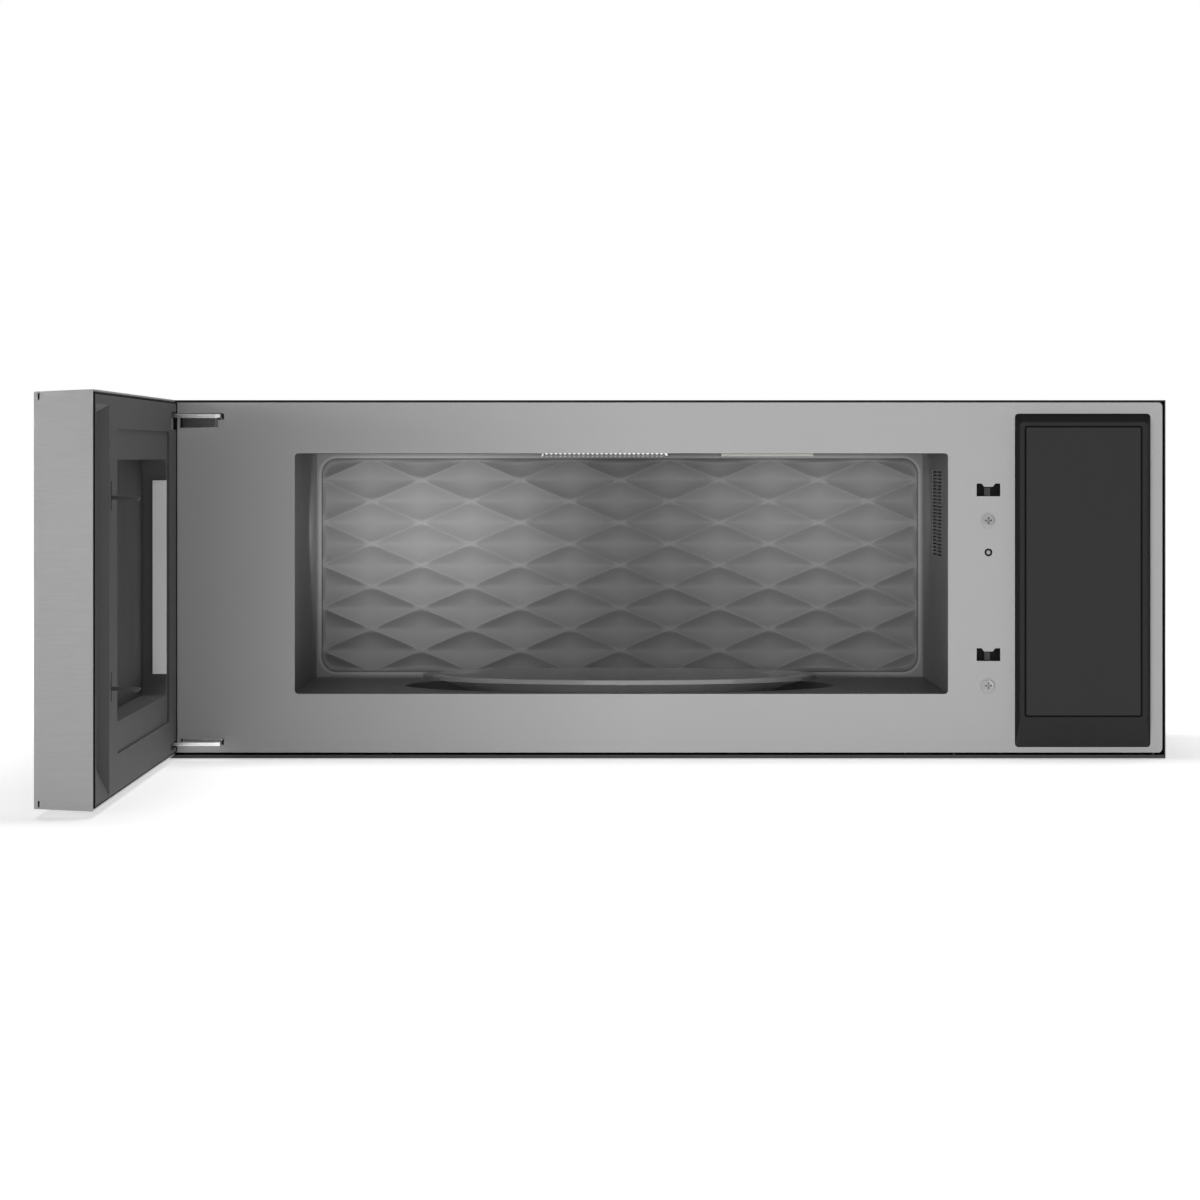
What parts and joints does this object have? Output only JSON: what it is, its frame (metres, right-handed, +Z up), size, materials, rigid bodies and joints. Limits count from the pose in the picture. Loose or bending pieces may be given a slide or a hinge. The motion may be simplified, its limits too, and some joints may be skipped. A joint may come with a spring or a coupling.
{
  "type": "over-the-range microwave oven",
  "caption": "Low over-the-range microwave oven with side-hinged door, glass turntable, touch control unit, venting blower and grease filters below.",
  "frame": {"origin": "middle of the back panel's wall face", "axes": "+X to the right seen from the front, +Y into the wall, +Z up; the front faces -Y and the door stands open at the left"},
  "size_m": [0.7625, 1.1925, 0.263],
  "materials": {
    "case_paint": "satin powder coat",
    "base_paint": "satin grey paint",
    "frame_paint": "satin light grey paint",
    "cavity_paint": "satin grey cavity paint",
    "stainless": "lengthwise brushed",
    "zinc_steel": "zinc plated",
    "screw_steel": "bright plated",
    "core_steel": "varnished laminations",
    "copper": "enamelled copper",
    "can_aluminium": "drawn",
    "mesh_aluminium": "expanded mesh",
    "liner_plastic": "fine texture, dark grey",
    "control_black": "fine texture, near black",
    "black_plastic": "black",
    "latch_plastic": "natural white",
    "switch_plastic": "dark grey",
    "switch_grey": "light grey",
    "board_green": "lacquered board",
    "cover_mica": "mica sheet",
    "lamp_white": "white",
    "touch_glass": "smooth, dark grey",
    "dark_glass": "tinted, clear",
    "tray_glass": "clear, pressed",
    "lens_glass": "frosted",
    "screen_paint": "black, perforated",
    "strip_paint": "satin light grey paint"
  },
  "bodies": {
    "oven": {"side_panel_left": "case_paint", "side_panel_right": "case_paint", "top_panel": "case_paint", "back_panel": "zinc_steel", "base_pan": "base_paint", "cord_bushing": "black_plastic", "front_frame": "frame_paint", "cavity_shell": "cavity_paint", "cavity_floor": "cavity_paint", "cavity_back_wall": "cavity_paint", "lamp_screen": "cavity_paint", "cavity_lamp": "lamp_white", "waveguide_cover": "cover_mica", "waveguide": "zinc_steel", "magnetron_yoke": "zinc_steel", "magnetron_anode": "copper", "magnetron_filter_box": "zinc_steel", "component_plate": "zinc_steel", "transformer_core": "core_steel", "transformer_winding": "copper", "capacitor": "can_aluminium", "capacitor_clamp": "zinc_steel", "fan_partition": "zinc_steel", "fan_motor": "core_steel", "noise_filter_board": "board_green", "thermal_cutouts": "black_plastic", "latch_board": "latch_plastic", "interlock_switches": "switch_plastic", "latch_screws": "screw_steel", "control_housing": "control_black", "touch_panel": "touch_glass", "control_board": "board_green", "turntable_motor": "zinc_steel", "hinge_arms": "screw_steel", "blower_housing": "zinc_steel", "blower_motor": "core_steel", "exhaust_duct": "zinc_steel", "grease_filters": "mesh_aluminium", "cooktop_lenses": "lens_glass", "cooktop_lamps": "lamp_white"},
    "door": {"door_skin": "stainless", "door_glass": "dark_glass", "door_liner": "liner_plastic", "inner_window": "dark_glass", "door_screen": "screen_paint", "window_edge_strip": "strip_paint", "door_hinge_plates": "zinc_steel", "latch_spring": "screw_steel"},
    "latch": {"latch_bar": "latch_plastic"},
    "plunger_upper": {"switch_plunger_upper": "switch_grey"},
    "plunger_lower": {"switch_plunger_lower": "switch_grey"},
    "turntable": {"turntable_tray": "tray_glass", "turntable_coupler": "latch_plastic"},
    "ring": {"roller_ring": "latch_plastic"},
    "roller_1": {"roller_1": "latch_plastic"},
    "roller_2": {"roller_2": "latch_plastic"},
    "roller_3": {"roller_3": "latch_plastic"},
    "fan": {"fan_blade": "black_plastic"},
    "blower": {"blower_wheel": "black_plastic"},
    "damper": {"damper_flap": "zinc_steel"}
  },
  "joints": [
    {"name": "door_hinge", "type": "hinge", "parent": "oven", "child": "door", "pos_m": [-0.36375, -0.44975, 0], "axis": [0, 0, -1], "range_deg": [-90, 0]},
    {"name": "latch_slide", "type": "slide", "parent": "door", "child": "latch", "axis": [0, 0, 1], "range_m": [0, 0.002], "stiffness_N_per_m": 700, "springref_m": -0.002, "deforming": ["latch_spring"]},
    {"name": "upper_switch", "type": "slide", "parent": "oven", "child": "plunger_upper", "axis": [0, 1, 0], "range_m": [0, 0.0015], "stiffness_N_per_m": 600, "springref_m": -0.001},
    {"name": "lower_switch", "type": "slide", "parent": "oven", "child": "plunger_lower", "axis": [0, 1, 0], "range_m": [0, 0.0015], "stiffness_N_per_m": 600, "springref_m": -0.001},
    {"name": "turntable_spin", "type": "hinge", "parent": "oven", "child": "turntable", "pos_m": [-0.0196, -0.243, -0.0887], "axis": [0, 0, 1], "continuous": true},
    {"name": "roller_ring_spin", "type": "hinge", "parent": "oven", "child": "ring", "pos_m": [-0.0196, -0.243, -0.0945], "axis": [0, 0, 1], "continuous": true},
    {"name": "cooling_fan_spin", "type": "hinge", "parent": "oven", "child": "fan", "pos_m": [0.2991, -0.1068, -0.0065], "axis": [0, 1, 0], "continuous": true},
    {"name": "vent_blower_spin", "type": "hinge", "parent": "oven", "child": "blower", "pos_m": [-0.33, -0.16, -0.012], "axis": [1, 0, 0], "continuous": true},
    {"name": "damper_hinge", "type": "hinge", "parent": "oven", "child": "damper", "pos_m": [0, -0.0115, 0.1255], "axis": [-1, 0, 0], "range_deg": [0, 75]},
    {"name": "roller_1_spin", "type": "hinge", "parent": "ring", "child": "roller_1", "pos_m": [0.06345, -0.19505, -0.0945], "axis": [0.866, 0.5, 0], "continuous": true},
    {"name": "roller_2_spin", "type": "hinge", "parent": "ring", "child": "roller_2", "pos_m": [-0.10265, -0.19505, -0.0945], "axis": [-0.866, 0.5, 0], "continuous": true},
    {"name": "roller_3_spin", "type": "hinge", "parent": "ring", "child": "roller_3", "pos_m": [-0.0196, -0.3389, -0.0945], "axis": [0, -1, 0], "continuous": true}
  ],
  "couplings": [
    {"joint": "roller_ring_spin", "follows": "turntable_spin", "ratio": 0.5},
    {"joint": "roller_1_spin", "follows": "turntable_spin", "ratio": -8.7182},
    {"joint": "roller_2_spin", "follows": "turntable_spin", "ratio": -8.7182},
    {"joint": "roller_3_spin", "follows": "turntable_spin", "ratio": -8.7182}
  ]
}
